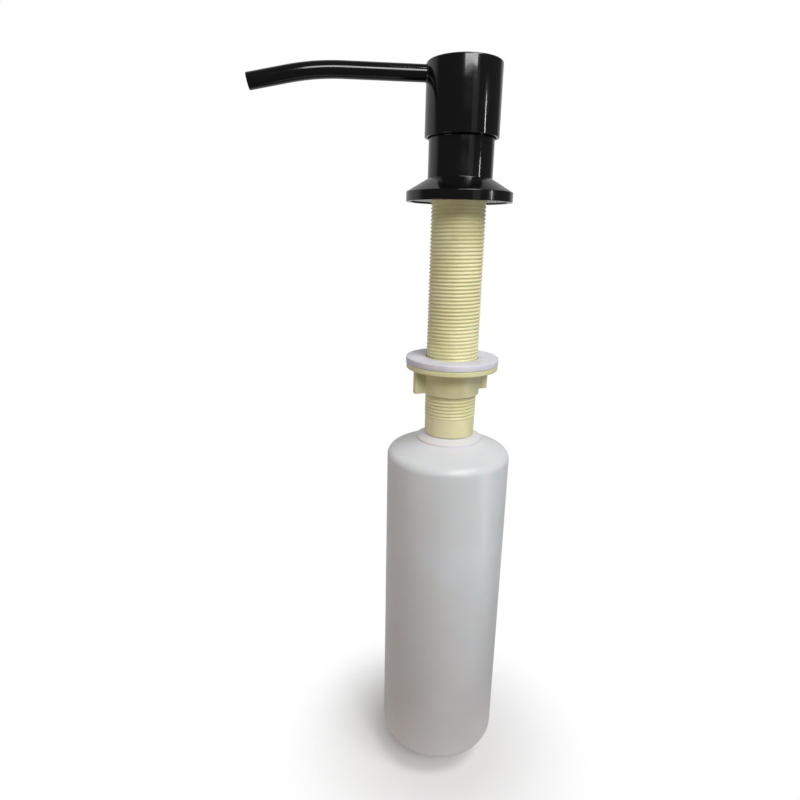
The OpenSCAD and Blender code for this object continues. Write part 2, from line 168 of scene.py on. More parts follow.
def turned(name, outline, around=160, closed=True):
    """A turned piece: an outline, anticlockwise in (radius, height), revolved about Z."""
    vertices, rings = [], []
    for radius, height in outline:
        count = around if radius > 1e-7 else 1
        rings.append([len(vertices) + j % count for j in range(around)])
        vertices += [
            (radius * cos(2 * pi * j / around), radius * sin(2 * pi * j / around), height)
            for j in range(count)
        ]
    faces = []
    for a, b in zip(rings, rings[1:] + rings[:1] if closed else rings[1:]):
        for j in range(around):
            k = (j + 1) % around
            face = list(dict.fromkeys((a[j], a[k], b[k], b[j])))
            if len(face) > 2:
                faces.append(face)
    return new_piece(name, vertices, faces)


def shaded(piece, surface, sharp=32):
    """Gives a piece its material and smooth shading that breaks at edges over an angle."""
    piece.data.materials.clear()
    piece.data.materials.append(surface)
    piece.data.shade_smooth()
    piece.data.set_sharp_from_angle(angle=radians(sharp))
    return piece


plating_black, speck_grey = (0.004, 0.004, 0.0045), (0.02, 0.02, 0.021)
black_plating = finish("gloss black plating", plating_black, 0.1, coat_weight=0.2)
smears = grain(black_plating, 9 * mm, detail=5)
feed(black_plating, "Roughness", level(black_plating, smears, 0.07, 0.16))
dust = grain(black_plating, 0.35 * mm, detail=1)
specks = level(black_plating, dust, 0, 1, 0.74, 0.8)
feed(black_plating, "Base Color", blend_colours(black_plating, specks, plating_black, speck_grey))
orange_peel = grain(black_plating, 1.6 * mm, detail=2)
relief(black_plating, [orange_peel, specks], [0.004 * mm, 0.004 * mm])

head_low, head_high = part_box("pump_head")
head_r, head_wall, head_roof = head_high.x, 1.4 * mm, 1.2 * mm
head_cap = turned("head_cap", softened([
    (0, head_high.z),
    (0, head_high.z - head_roof),
    (head_r - head_wall, head_high.z - head_roof, 0.5 * mm),
    (head_r - head_wall, head_low.z, 0.3 * mm),
    (head_r, head_low.z, 0.3 * mm),
    (head_r, head_high.z, 0.8 * mm),
], steps=6))
shaded(head_cap, black_plating)
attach(head_cap, "head")
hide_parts("pump_head")

# ---- Spout ----
# A drawn metal tube, bent down a little towards its mouth and brazed into the head's side,
# with a small fillet of braze round the joint. It is plated together with the head.
spout_r, spout_wall = 3.6 * mm, 0.7 * mm
spout_root, bend_start = 8 * mm, 53.8 * mm
bend_r, bend_turn, bend_steps = 119 * mm, radians(12), 16
spout_end = 17.2 * mm
spout_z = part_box("spout_tube")[1].z - spout_r
bend_from = bend_start - spout_root
bend_to = bend_from + bend_r * bend_turn
spout_length = bend_to + spout_end


def along_spout(piece):
    """Bends a piece that was turned about Z so that its length follows the spout's route."""
    for vertex in piece.data.vertices:
        up, side, run = vertex.co
        turn = min(max((run - bend_from) / bend_r, 0), bend_turn)
        past = run - bend_to if run > bend_to else min(run - bend_from, 0)
        forward = bend_start + bend_r * sin(turn) + past * cos(turn) + up * sin(turn)
        height = spout_z - bend_r * (1 - cos(turn)) - past * sin(turn) + up * cos(turn)
        vertex.co = (-forward, side, height)
    piece.data.update()


def spout_layer(name, outer, inner, start, end, lip):
    """A tube along the spout's route, from one distance to another, with rounded ends."""
    bend = [bend_from + (bend_to - bend_from) * k / bend_steps for k in range(bend_steps + 1)]
    stops = [start, *bend, end]
    corners = [(outer, run) for run in stops] + [(inner, run) for run in reversed(stops)]
    last = len(stops) - 1
    corners[last] += (lip,)
    corners[last + 1] += (lip,)
    piece = turned(name, softened(corners, steps=3), around=72)
    along_spout(piece)
    return piece


spout = spout_layer("spout", spout_r, spout_r - spout_wall, 0, spout_length, 0.25 * mm)
shaded(spout, black_plating)
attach(spout, "head")
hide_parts("spout_tube")

fillet, sunk, fillet_steps, fillet_sides = 0.7 * mm, 0.3 * mm, 6, 72
fillet_turns = [pi / 2 * k / fillet_steps for k in range(fillet_steps + 1)]
hollow = [(fillet * (1 - cos(turn)), fillet * (1 - sin(turn))) for turn in fillet_turns]
fillet_outline = [(-sunk, -sunk), (-sunk, fillet), *hollow, (fillet, -sunk)]
fillet_points, fillet_faces = [], []
for i in range(fillet_sides):
    angle = 2 * pi * i / fillet_sides
    for out, rise in fillet_outline:
        side = (spout_r + rise) * sin(angle)
        wall = sqrt(head_r ** 2 - side ** 2)
        fillet_points.append((-wall - out, side, spout_z + (spout_r + rise) * cos(angle)))
    for j in range(len(fillet_outline)):
        k = (j + 1) % len(fillet_outline)
        a, b = i * len(fillet_outline), (i + 1) % fillet_sides * len(fillet_outline)
        fillet_faces.append((a + j, b + j, b + k, a + k))
braze = shaded(new_piece("spout_braze", fillet_points, fillet_faces), black_plating, sharp=60)
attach(braze, "head")

# ---- Soap hose ----
# A thin polyethylene hose that lines the spout from the core to just short of its mouth, so
# that the soap never meets the metal.
hose_r, hose_wall, hose_grip, hose_back = 2.85 * mm, 0.75 * mm, 2.5 * mm, 0.6 * mm
milky_hose = finish("milky hose", (0.78, 0.78, 0.74), 0.35,
                    subsurface_weight=0.3, subsurface_scale=2 * mm)
cloud = grain(milky_hose, 3 * mm, stretch=(0.3, 1, 1))
feed(milky_hose, "Base Color", blend_colours(milky_hose, cloud, (0.72, 0.72, 0.67), (0.82, 0.82, 0.79)))
relief(milky_hose, [grain(milky_hose, 0.4 * mm)], [0.005 * mm])
hose = spout_layer(
    "spout_hose_lining", hose_r, hose_r - hose_wall, -hose_grip, spout_length - hose_back, 0.15 * mm)
shaded(hose, milky_hose)
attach(hose, "head")
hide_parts("spout_hose")

# ---- Head core ----
# The moulded white polypropylene core that is pressed up into the cap. Its boss grips the stem,
# and a passage leads the soap sideways into the hose. Sink marks and fine grain show on it.
white_pp = finish("moulded white polypropylene", (0.82, 0.82, 0.8), 0.38,
                  subsurface_weight=0.15, subsurface_scale=1.5 * mm)
flow = grain(white_pp, 7 * mm, detail=4)
feed(white_pp, "Base Color", blend_colours(
    white_pp, level(white_pp, flow, 0, 1), (0.77, 0.77, 0.74), (0.84, 0.84, 0.82)))
feed(white_pp, "Roughness", level(white_pp, grain(white_pp, 2 * mm), 0.3, 0.46))
relief(white_pp, [flow, grain(white_pp, 0.4 * mm)], [0.008 * mm, 0.003 * mm])


def carried_over(name, surface):
    """Puts a finish on a CAD piece whose shape is shown as it is."""
    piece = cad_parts[name]
    piece.data.materials.clear()
    piece.data.materials.append(surface)


carried_over("head_core", white_pp)

# ---- Collar ----
# The part that shows on the counter: a turned brass tube on a cone and a flat flange, plated
# like the head. The flange is recessed underneath for a soft ring.
collar_r, collar_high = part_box("collar")[1].x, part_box("collar")[1].z
collar_tube_r, collar_bore_r = 15.1 * mm, 13.1 * mm
rim_h, cone_top, rim_w, recess_h = 4.4 * mm, 10.3 * mm, 2.1 * mm, 2.8 * mm
collar = turned("collar_flange", softened([
    (collar_r, 0, 0.3 * mm),
    (collar_r, rim_h, 0.35 * mm),
    (collar_tube_r, cone_top, 0.3 * mm),
    (collar_tube_r, collar_high, 0.35 * mm),
    (collar_bore_r, collar_high, 0.2 * mm),
    (collar_bore_r, recess_h),
    (collar_r - rim_w, recess_h, 0.2 * mm),
    (collar_r - rim_w, 0, 0.2 * mm),
]))
shaded(collar, black_plating)
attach(collar, "mount")
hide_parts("collar")

# ---- Ring under the flange ----
# A white closed-cell foam ring, pressed into the recess, that seals the flange to the
# counter. Its faces are skived, so small open cells show.
ring_low, ring_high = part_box("flange_gasket")
ring_bore = 13.3 * mm
white_foam = finish("white foam ring", (0.8, 0.8, 0.8), 0.75)
cells = node(white_foam.node_tree, "ShaderNodeTexVoronoi", {
    "Vector": own_place(white_foam), "Scale": 1 / (0.5 * mm)}).outputs["Distance"]
feed(white_foam, "Base Color", blend_colours(
    white_foam, level(white_foam, cells, 0, 1, 0.1, 0.5), (0.6, 0.6, 0.61), (0.86, 0.86, 0.86)))
relief(white_foam, [cells], [0.05 * mm])
foam_ring = turned("foam_ring", softened([
    (ring_high.x, ring_low.z, 0.35 * mm),
    (ring_high.x, ring_high.z, 0.35 * mm),
    (ring_bore, ring_high.z, 0.35 * mm),
    (ring_bore, ring_low.z, 0.35 * mm),
]))
shaded(foam_ring, white_foam)
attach(foam_ring, "mount")
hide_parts("flange_gasket")

# ---- Shank ----
# The long tube that goes through the counter, injection moulded in cream ABS. A coarse
# thread runs from the collar nearly to its lower end, where the bottle screws in.


def new_tree(name, **sizes):
    """A tree that is given a body, some sizes by kind and a surface, and gives back a part."""
    tree = bpy.data.node_groups.new(name, "GeometryNodeTree")
    for label, kind in {"Body": "Geometry", **sizes, "Surface": "Material"}.items():
        tree.interface.new_socket(
            name=label.replace("_", " "), in_out="INPUT", socket_type="NodeSocket" + kind)
    tree.interface.new_socket(name="Part", in_out="OUTPUT", socket_type="NodeSocketGeometry")
    return tree, node(tree, "NodeGroupInput").outputs


def calculator(tree):
    """A function that adds arithmetic on one or two values to a tree."""
    def calc(operation, first, second=0.0):
        return node(tree, "ShaderNodeMath", {0: first, 1: second}, operation=operation).outputs[0]
    return calc


def joined(tree, first, second):
    """Two shapes put together in one."""
    both = node(tree, "GeometryNodeJoinGeometry")
    for shape in (first, second):
        tree.links.new(shape, both.inputs[0])
    return both.outputs[0]


def closed_off(tree, shape, surface):
    """Ends a tree: its instances are made real and covered with the surface."""
    real = node(tree, "GeometryNodeRealizeInstances", {0: shape})
    covered = node(tree, "GeometryNodeSetMaterial", {"Geometry": real.outputs[0], "Material": surface})
    node(tree, "NodeGroupOutput", {0: covered.outputs[0]})
    return tree


def thread_tree():
    """Cuts a round-bottomed helical thread and joins it to the open body that it is given."""
    tree, given = new_tree(
        "cut thread", Around="Int", Crest_radius="Float", Root_radius="Float", Pitch="Float",
        Bottom="Float", Top="Float", Bottom_radius="Float", Top_radius="Float", Inside="Bool")
    calc = calculator(tree)

    def eased(value, start, end, low, high):
        feeds = {"Value": value, "From Min": start, "From Max": end, "To Min": low, "To Max": high}
        return node(tree, "ShaderNodeMapRange", feeds, interpolation_type="SMOOTHSTEP").outputs[0]

    rows_each_turn, groove_floor, groove_edge = 10, 0.02, 0.4
    span = calc("SUBTRACT", given["Top"], given["Bottom"])
    turns = calc("ADD", calc("CEIL", calc("DIVIDE", span, given["Pitch"])), 1)
    grid = node(tree, "GeometryNodeMeshGrid", {
        "Size X": 1.0, "Size Y": 1.0, "Vertices X": calc("ADD", given["Around"], 1),
        "Vertices Y": calc("ADD", calc("MULTIPLY", turns, rows_each_turn), 1)})
    flat = node(tree, "ShaderNodeSeparateXYZ", {0: node(tree, "GeometryNodeInputPosition").outputs[0]})
    around = calc("ADD", flat.outputs["X"], 0.5)
    along = calc("MULTIPLY", calc("ADD", flat.outputs["Y"], 0.5), turns)
    climb = calc("SUBTRACT", calc("ADD", along, around), 1)
    height = calc("ADD", given["Bottom"], calc("MULTIPLY", climb, given["Pitch"]))
    from_groove = calc("ABSOLUTE", calc("SUBTRACT", calc("FRACT", along), 0.5))
    radius = eased(
        from_groove, groove_floor, groove_edge, given["Root radius"], given["Crest radius"])
    run_in = eased(height, given["Bottom"], calc("ADD", given["Bottom"], given["Pitch"]), 0.0, 1.0)
    run_out = eased(height, calc("SUBTRACT", given["Top"], given["Pitch"]), given["Top"], 1.0, 0.0)
    for share, end in ((run_in, "Bottom radius"), (run_out, "Top radius")):
        feeds = {0: share, 2: given[end], 3: radius}
        radius = node(tree, "ShaderNodeMix", feeds).outputs[0]
    angle = calc("MULTIPLY", around, 2 * pi)
    place = node(tree, "ShaderNodeCombineXYZ", {
        0: calc("MULTIPLY", radius, calc("COSINE", angle)),
        1: calc("MULTIPLY", radius, calc("SINE", angle)),
        2: calc("MINIMUM", calc("MAXIMUM", height, given["Bottom"]), given["Top"])})
    wound = node(tree, "GeometryNodeSetPosition", {
        "Geometry": grid.outputs["Mesh"], "Position": place.outputs[0]})
    facing = node(tree, "GeometryNodeFlipFaces", {
        "Mesh": wound.outputs[0], "Selection": given["Inside"]})
    whole = node(tree, "GeometryNodeMergeByDistance", {
        "Geometry": joined(tree, given["Body"], facing.outputs[0]), "Distance": 0.002 * mm})
    return closed_off(tree, whole.outputs[0], given["Surface"])


def kept_plain(piece):
    """Keeps what a piece's modifiers make of it as a plain mesh, and removes them."""
    graph = bpy.context.evaluated_depsgraph_get()
    piece.data = bpy.data.meshes.new_from_object(piece.evaluated_get(graph))
    piece.modifiers.clear()
    return piece


def grown(piece, tree, values):
    """Runs a tree on a piece with the named inputs, and keeps the result as a plain mesh."""
    modifier = piece.modifiers.new(tree.name, "NODES")
    modifier.node_group = tree
    sockets = {s.name: s.identifier for s in tree.interface.items_tree if s.in_out == "INPUT"}
    for label, value in values.items():
        modifier[sockets[label]] = value
    return kept_plain(piece)


thread = thread_tree()
cream_abs = finish("cream ABS", (0.8, 0.77, 0.48), 0.4,
                   subsurface_weight=0.15, subsurface_scale=1.5 * mm)
patches = grain(cream_abs, 14 * mm, detail=4)
cream = blend_colours(cream_abs, level(cream_abs, patches, 0, 1), (0.75, 0.71, 0.4), (0.81, 0.775, 0.48))
feed(cream_abs, "Base Color", cream)
feed(cream_abs, "Roughness", level(cream_abs, grain(cream_abs, 3 * mm), 0.33, 0.48))
relief(cream_abs, [grain(cream_abs, 0.5 * mm, detail=4)], [0.006 * mm])

shank_low, shank_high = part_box("shank")
thread_r, thread_root_r, thread_pitch = shank_high.x, shank_high.x - 0.6 * mm, 1.75 * mm
plain_r, shank_bore_r = shank_high.x - 0.25 * mm, 10.2 * mm
socket_r, socket_top = 11.45 * mm, shank_low.z + 15.5 * mm
thread_low = shank_low.z + 8.8 * mm
shank_around = 96
shank = turned("threaded_shank", softened([
    (thread_r, 0),
    (thread_r, shank_high.z, 0.4 * mm),
    (shank_bore_r, shank_high.z, 0.3 * mm),
    (shank_bore_r, socket_top, 0.3 * mm),
    (socket_r, socket_top),
    (socket_r, shank_low.z, 0.3 * mm),
    (plain_r, shank_low.z, 0.3 * mm),
    (plain_r, thread_low),
], closed=False), around=shank_around, closed=False)
grown(shank, thread, {
    "Around": shank_around, "Crest radius": thread_r, "Root radius": thread_root_r,
    "Pitch": thread_pitch, "Bottom": thread_low, "Top": 0.0, "Bottom radius": plain_r,
    "Top radius": thread_r, "Inside": False, "Surface": cream_abs})
shaded(shank, cream_abs, sharp=50)
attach(shank, "mount")
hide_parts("shank")

# ---- Washer ----
# A flat washer stamped from soft white polyethylene sheet. It takes the nut's pull on the
# underside of the counter.
washer_low, washer_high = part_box("nut_washer")
washer_bore = 13.3 * mm
white_sheet = finish("white polyethylene sheet", (0.84, 0.83, 0.88), 0.45,
                     subsurface_weight=0.1, subsurface_scale=1.5 * mm)
scuffs = grain(white_sheet, 6 * mm, detail=6)
feed(white_sheet, "Base Color", blend_colours(
    white_sheet, level(white_sheet, scuffs, 0, 1), (0.66, 0.65, 0.73), (0.74, 0.735, 0.8)))
feed(white_sheet, "Roughness", level(white_sheet, scuffs, 0.38, 0.55))
relief(white_sheet, [grain(white_sheet, 0.6 * mm)], [0.008 * mm])
washer = turned("flat_washer", softened([
    (washer_high.x, washer_low.z, 0.25 * mm),
    (washer_high.x, washer_high.z, 0.5 * mm),
    (washer_bore, washer_high.z, 0.3 * mm),
    (washer_bore, washer_low.z, 0.3 * mm),
]))
shaded(washer, white_sheet)
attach(washer, "washer")
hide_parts("nut_washer")

# ---- Lock nut ----
# The nut that clamps the dispenser, moulded in the same cream ABS as the shank: a flange, a
# hub that narrows downwards, and two wings to turn it by. Its bore is threaded.
nut_low, nut_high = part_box("lock_nut")
flange_r, flange_t = nut_high.x, 2.7 * mm
hub_top_r, hub_low_r, nut_bore_r = 15.06 * mm, 14.26 * mm, 13.06 * mm
nut_lead_in = 0.6 * mm
nut = turned("lock_nut_body", softened([
    (nut_bore_r, nut_low.z + nut_lead_in),
    (nut_bore_r, nut_low.z),
    (hub_low_r, nut_low.z, 0.4 * mm),
    (hub_top_r, nut_high.z - flange_t, 0.8 * mm),
    (flange_r, nut_high.z - flange_t, 0.4 * mm),
    (flange_r, nut_high.z, 0.3 * mm),
    (nut_bore_r, nut_high.z),
    (nut_bore_r, nut_high.z - nut_lead_in),
], closed=False), around=shank_around, closed=False)
grown(nut, thread, {
    "Around": shank_around, "Crest radius": nut_bore_r, "Root radius": thread_root_r + 0.1 * mm,
    "Pitch": thread_pitch, "Bottom": nut_low.z + nut_lead_in, "Top": nut_high.z - nut_lead_in,
    "Bottom radius": nut_bore_r, "Top radius": nut_bore_r, "Inside": True, "Surface": cream_abs})
shaded(nut, cream_abs, sharp=50)
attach(nut, "nut")
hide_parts("lock_nut")

wing_span, wing_t, wing_lift, wing_turn = 41 * mm, 3 * mm, 0.6 * mm, radians(16)
for number, flip in ((1, 0), (2, pi)):
    inner, outer = nut_bore_r + 0.7 * mm, wing_span / 2
    bottom, top = nut_low.z + wing_lift, nut_high.z - flange_t + 0.3 * mm
    wing = new_piece(f"nut_wing_{number}", [
        (x, y, z) for x in (inner, outer) for y in (-wing_t / 2, wing_t / 2) for z in (bottom, top)
    ], [(0, 1, 3, 2), (4, 6, 7, 5), (0, 4, 5, 1), (2, 3, 7, 6), (0, 2, 6, 4), (1, 5, 7, 3)])
    wing.data.transform(Matrix.Rotation(wing_turn + flip, 4, "Z"))
    edge = wing.modifiers.new("moulded edges", "BEVEL")
    edge.width, edge.segments = 0.45 * mm, 3
    shaded(kept_plain(wing), cream_abs, sharp=50)
    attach(wing, "nut")

# ---- Bottle seal ----
# A flat ring punched from grey rubber sheet. The bottle's neck squeezes it against the end of
# the shank's socket, and it comes down with the bottle.
seal_low, seal_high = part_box("bottle_seal")
grey_rubber = finish("grey rubber sheet", (0.16, 0.16, 0.16), 0.7)
mottle = grain(grey_rubber, 2.5 * mm, detail=5)
feed(grey_rubber, "Base Color", blend_colours(
    grey_rubber, level(grey_rubber, mottle, 0, 1), (0.12, 0.12, 0.12), (0.2, 0.2, 0.2)))
feed(grey_rubber, "Roughness", level(grey_rubber, mottle, 0.6, 0.82))
relief(grey_rubber, [grain(grey_rubber, 0.3 * mm, detail=4)], [0.02 * mm])


def punched_ring(name, low, high, bore, surface, rounding, body, replaced):
    """A flat ring with softened edges that stands for a CAD ring and rides on its body."""
    piece = turned(name, softened([
        (high.x, low.z, rounding),
        (high.x, high.z, rounding),
        (bore, high.z, rounding),
        (bore, low.z, rounding),
    ]), around=128)
    shaded(piece, surface)
    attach(piece, body)
    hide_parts(replaced)


neck_bore_r = 9.15 * mm
punched_ring("bottle_neck_seal", seal_low, seal_high, neck_bore_r, grey_rubber, 0.2 * mm,
             "seal", "bottle_seal")

# ---- Bottle ----
# The soap reservoir, blow moulded in milky polyethylene: a threaded neck, a ledge round it,
# a sloping shoulder and a hollow base. The wall is thin, so light glows through it.
bottle_low, bottle_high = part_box("bottle")
bottle_r, bottle_wall, bottle_around = bottle_high.x, 1.2 * mm, 128
neck_r, neck_root_r, neck_pitch = 11.15 * mm, 10.45 * mm, 3.2 * mm
flare_top = shank_low.z - 0.3 * mm
ledge_r, ledge_z, ledge_h = 16.9 * mm, flare_top - 1.9 * mm, 1.1 * mm
shoulder_slope, shoulder_round, base_round = radians(24.5), 5 * mm, 5 * mm
punt_foot, punt_slope, punt_h = 3 * mm, 4 * mm, 2.5 * mm


def bottle_side(inset):
    """Corners of the bottle's side from the base's middle up, set in by a wall's thickness."""
    side = bottle_r - inset
    rise = (side - ledge_r) * tan(shoulder_slope) + inset / cos(shoulder_slope)
    foot = bottle_r - base_round - punt_foot
    return [
        (0, bottle_low.z + punt_h + inset),
        (foot - punt_slope, bottle_low.z + punt_h + inset, 2 * mm),
        (foot, bottle_low.z + inset, 2 * mm),
        (side, bottle_low.z + inset, base_round - inset),
        (side, ledge_z - ledge_h - rise, shoulder_round - inset),
    ]


bottle = turned("soap_bottle", softened([
    (neck_r, bottle_high.z - 0.4 * mm),
    (neck_r - 0.4 * mm, bottle_high.z),
    (neck_bore_r, bottle_high.z, 0.3 * mm),
    (neck_bore_r, flare_top - 0.95 * mm, 1 * mm),
    (ledge_r - bottle_wall, ledge_z - ledge_h - bottle_wall / cos(shoulder_slope), 2 * mm),
    *reversed(bottle_side(bottle_wall)),
    *bottle_side(0),
    (ledge_r, ledge_z - ledge_h, 0.5 * mm),
    (ledge_r, ledge_z, 0.5 * mm),
    (plain_r, flare_top, 0.6 * mm),
    (neck_r, flare_top, 0.3 * mm),
    (neck_r, flare_top + 1 * mm),
], closed=False, steps=8), around=bottle_around, closed=False)
milky_pe = finish("milky bottle polyethylene", (0.72, 0.72, 0.73), 0.34,
                  subsurface_weight=0.35, subsurface_scale=6 * mm)
clouds = grain(milky_pe, 40 * mm, detail=3)
streaks = grain(milky_pe, 6 * mm, detail=4, stretch=(1, 1, 0.12))
# Painted shade: the milk colour turns darker and warmer from 14 cm above the bottle's base down to the
# base.
unshaded_milk = blend_colours(
    milky_pe, level(milky_pe, clouds, 0, 1), (0.73, 0.705, 0.715), (0.77, 0.74, 0.77))
milk_with_painted_shade = blend_colours(
    milky_pe, level(milky_pe, clouds, 0, 1), (0.64, 0.585, 0.565), (0.69, 0.63, 0.625))
height = node(milky_pe.node_tree, "ShaderNodeSeparateXYZ", {0: own_place(milky_pe)}).outputs["Z"]
painted_shade_fade = level(milky_pe, height, 0, 1, bottle_low.z, bottle_low.z + 0.14)
milk = blend_colours(milky_pe, painted_shade_fade, milk_with_painted_shade, unshaded_milk)
feed(milky_pe, "Base Color", milk)
feed(milky_pe, "Roughness", level(milky_pe, streaks, 0.28, 0.42))
relief(milky_pe, [streaks, grain(milky_pe, 1.2 * mm)], [0.03 * mm, 0.006 * mm])
grown(bottle, thread, {
    "Around": bottle_around, "Crest radius": neck_r, "Root radius": neck_root_r,
    "Pitch": neck_pitch, "Bottom": flare_top + 1 * mm, "Top": bottle_high.z - 0.4 * mm,
    "Bottom radius": neck_r, "Top radius": neck_r, "Inside": False, "Surface": milky_pe})
shaded(bottle, milky_pe, sharp=50)
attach(bottle, "bottle")
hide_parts("bottle")

# ---- Pump barrel ----
# The pump's cylinder, moulded in natural polypropylene that lets light through. It hangs by a
# flange on the shank's top, and its tail grips the dip tube.
barrel_low, barrel_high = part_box("pump_barrel")
hang_r, hang_t, gasket_t = barrel_high.x, 1.6 * mm, 1 * mm
barrel_bore_r, barrel_r = 7 * mm, 8 * mm
gasket_low, gasket_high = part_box("pump_gasket")
hang_z = gasket_low.z + gasket_t
cage_low, cage_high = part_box("ball_cage")
ball_low, ball_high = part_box("inlet_ball")
dip_low, dip_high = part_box("dip_tube")
chamber_r, chamber_wall_r = 3.6 * mm, 4.6 * mm
inlet_seat_r, dip_r, dip_wall = 2 * mm, dip_high.x, 0.9 * mm
inlet_ball_r = ball_high.x
seat_z = (ball_low.z + ball_high.z) / 2 - sqrt(inlet_ball_r ** 2 - inlet_seat_r ** 2) - 0.1 * mm
tail_bore_r, tail_r = dip_r + 0.05 * mm, dip_r + 1.55 * mm
tail_top = dip_high.z + 0.05 * mm
natural_pp = finish("natural polypropylene", (0.8, 0.82, 0.8), 0.28, transmission_weight=0.6)
haze = grain(natural_pp, 5 * mm, detail=4, stretch=(1, 1, 0.3))
feed(natural_pp, "Base Color", blend_colours(
    natural_pp, level(natural_pp, haze, 0, 1), (0.79, 0.81, 0.79), (0.84, 0.85, 0.84)))
feed(natural_pp, "Roughness", level(natural_pp, haze, 0.3, 0.38))
relief(natural_pp, [haze], [0.004 * mm])
barrel = turned("pump_cylinder", softened([
    (barrel_bore_r, barrel_high.z, 0.2 * mm),
    (barrel_bore_r, cage_low.z),
    (chamber_r, cage_low.z),
    (chamber_r, seat_z),
    (inlet_seat_r, seat_z),
    (inlet_seat_r, tail_top),
    (tail_bore_r, tail_top),
    (tail_bore_r, barrel_low.z, 0.2 * mm),
    (tail_r, barrel_low.z, 0.4 * mm),
    (tail_r, tail_top - 1 * mm, 0.3 * mm),
    (chamber_wall_r, seat_z - 1 * mm, 0.5 * mm),
    (chamber_wall_r, cage_low.z - 4 * mm, 0.8 * mm),
    (barrel_r, cage_low.z - 1 * mm, 0.8 * mm),
    (barrel_r, hang_z, 0.2 * mm),
    (hang_r, hang_z, 0.3 * mm),
    (hang_r, hang_z + hang_t, 0.2 * mm),
    (barrel_r, hang_z + hang_t),
    (barrel_r, barrel_high.z, 0.2 * mm),
]), around=128)
vent_r, vent_z = 0.8 * mm, gasket_low.z - 3 * mm
drill = turned("vent_drill", [
    (0, barrel_bore_r / 2), (vent_r, barrel_bore_r / 2), (vent_r, hang_r), (0, hang_r)], around=24)
drill.data.transform(Matrix.Translation((0, 0, vent_z)) @ Matrix.Rotation(pi / 2, 4, "Y"))
vent = barrel.modifiers.new("vent hole", "BOOLEAN")
vent.object, vent.operation, vent.solver = drill, "DIFFERENCE", "EXACT"
kept_plain(barrel)
bpy.data.objects.remove(drill)
shaded(barrel, natural_pp)
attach(barrel, "pump_body")
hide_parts("pump_barrel")

# ---- Pump gasket ----
# A soft grey ring punched from the same rubber sheet as the bottle's seal. The pump hangs on it
# by its flange, so that it closes the top of the shank.
punched_ring("pump_hanging_gasket", gasket_low, gasket_high, barrel_r + 0.3 * mm,
             grey_rubber, 0.2 * mm, "pump_body", "pump_gasket")

# ---- Pump cap ----
# The cap that closes the barrel and guides the stem in a long sleeve, moulded in white
# polypropylene, with fine ribs round its side to grip it by.
cap_low, cap_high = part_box("pump_cap")
sleeve_bore_r, sleeve_wall, cap_roof = 4.31 * mm, 1.2 * mm, 2 * mm
cap_skirt_z = hang_z + hang_t
rib_r, rib_count = 0.3 * mm, 60
cap_side_r = hang_r - rib_r
cap = turned("pump_cap_body", softened([
    (sleeve_bore_r, cap_low.z, 0.2 * mm),
    (sleeve_bore_r + sleeve_wall, cap_low.z, 0.3 * mm),
    (sleeve_bore_r + sleeve_wall, cap_high.z - cap_roof, 0.3 * mm),
    (barrel_r + 0.05 * mm, cap_high.z - cap_roof),
    (barrel_r + 0.05 * mm, cap_skirt_z),
    (cap_side_r, cap_skirt_z, 0.2 * mm),
    (cap_side_r, cap_high.z, 0.6 * mm),
    (sleeve_bore_r, cap_high.z, 0.4 * mm),
]), around=128)


def rib_tree():
    """Stands round-backed ribs side by side on a circle and joins them to the given body."""
    tree, given = new_tree("grip ribs", Count="Int", Ring_radius="Float", Rib_radius="Float",
                           Bottom="Float", Top="Float")
    calc, rib_sides = calculator(tree), 10
    length = calc("SUBTRACT", given["Top"], given["Bottom"])
    middle = calc("MULTIPLY", calc("ADD", given["Top"], given["Bottom"]), 0.5)
    circle = node(tree, "GeometryNodeMeshCircle", {
        "Vertices": given["Count"], "Radius": given["Ring radius"]})
    rib = node(tree, "GeometryNodeMeshCylinder", {
        "Vertices": rib_sides, "Radius": given["Rib radius"], "Depth": length})
    stood = node(tree, "GeometryNodeInstanceOnPoints", {
        "Points": circle.outputs["Mesh"], "Instance": rib.outputs["Mesh"]})
    lift = node(tree, "ShaderNodeCombineXYZ", {2: middle})
    raised = node(tree, "GeometryNodeTranslateInstances", {
        "Instances": stood.outputs[0], "Translation": lift.outputs[0], "Local Space": False})
    return closed_off(tree, joined(tree, given["Body"], raised.outputs[0]), given["Surface"])


grown(cap, rib_tree(), {
    "Count": rib_count, "Ring radius": cap_side_r, "Rib radius": rib_r,
    "Bottom": cap_skirt_z + 0.3 * mm, "Top": cap_high.z - 0.9 * mm, "Surface": white_pp})
shaded(cap, white_pp)
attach(cap, "pump_body")
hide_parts("pump_cap")

# ---- Stem ----
# The hollow rod that the head pushes down, moulded in white polypropylene. A rib stops it under
# the sleeve, and its wide foot holds the outlet ball.
stem_low, stem_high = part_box("pump_stem")
stem_r, stem_bore_r, foot_bore_r = 4.25 * mm, 2 * mm, 2.9 * mm
stop_low, stop_high = cap_low.z - 2 * mm, cap_low.z - 0.5 * mm
foot_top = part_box("outlet_ball")[1].z + 3.15 * mm
stem = turned("pump_stem_rod", softened([
    (foot_bore_r, stem_low.z, 0.15 * mm),
    (stem_r, stem_low.z, 0.2 * mm),
    (stem_r, stop_low),
    (stem_r + 1 * mm, stop_low, 0.2 * mm),
    (stem_r + 1 * mm, stop_high, 0.2 * mm),
    (stem_r, stop_high),
    (stem_r, stem_high.z, 0.4 * mm),
    (stem_bore_r, stem_high.z, 0.2 * mm),
    (stem_bore_r, foot_top + 1 * mm, 0.3 * mm),
    (foot_bore_r, foot_top, 0.3 * mm),
]), around=96)
shaded(stem, white_pp)
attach(stem, "plunger")
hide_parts("pump_stem")

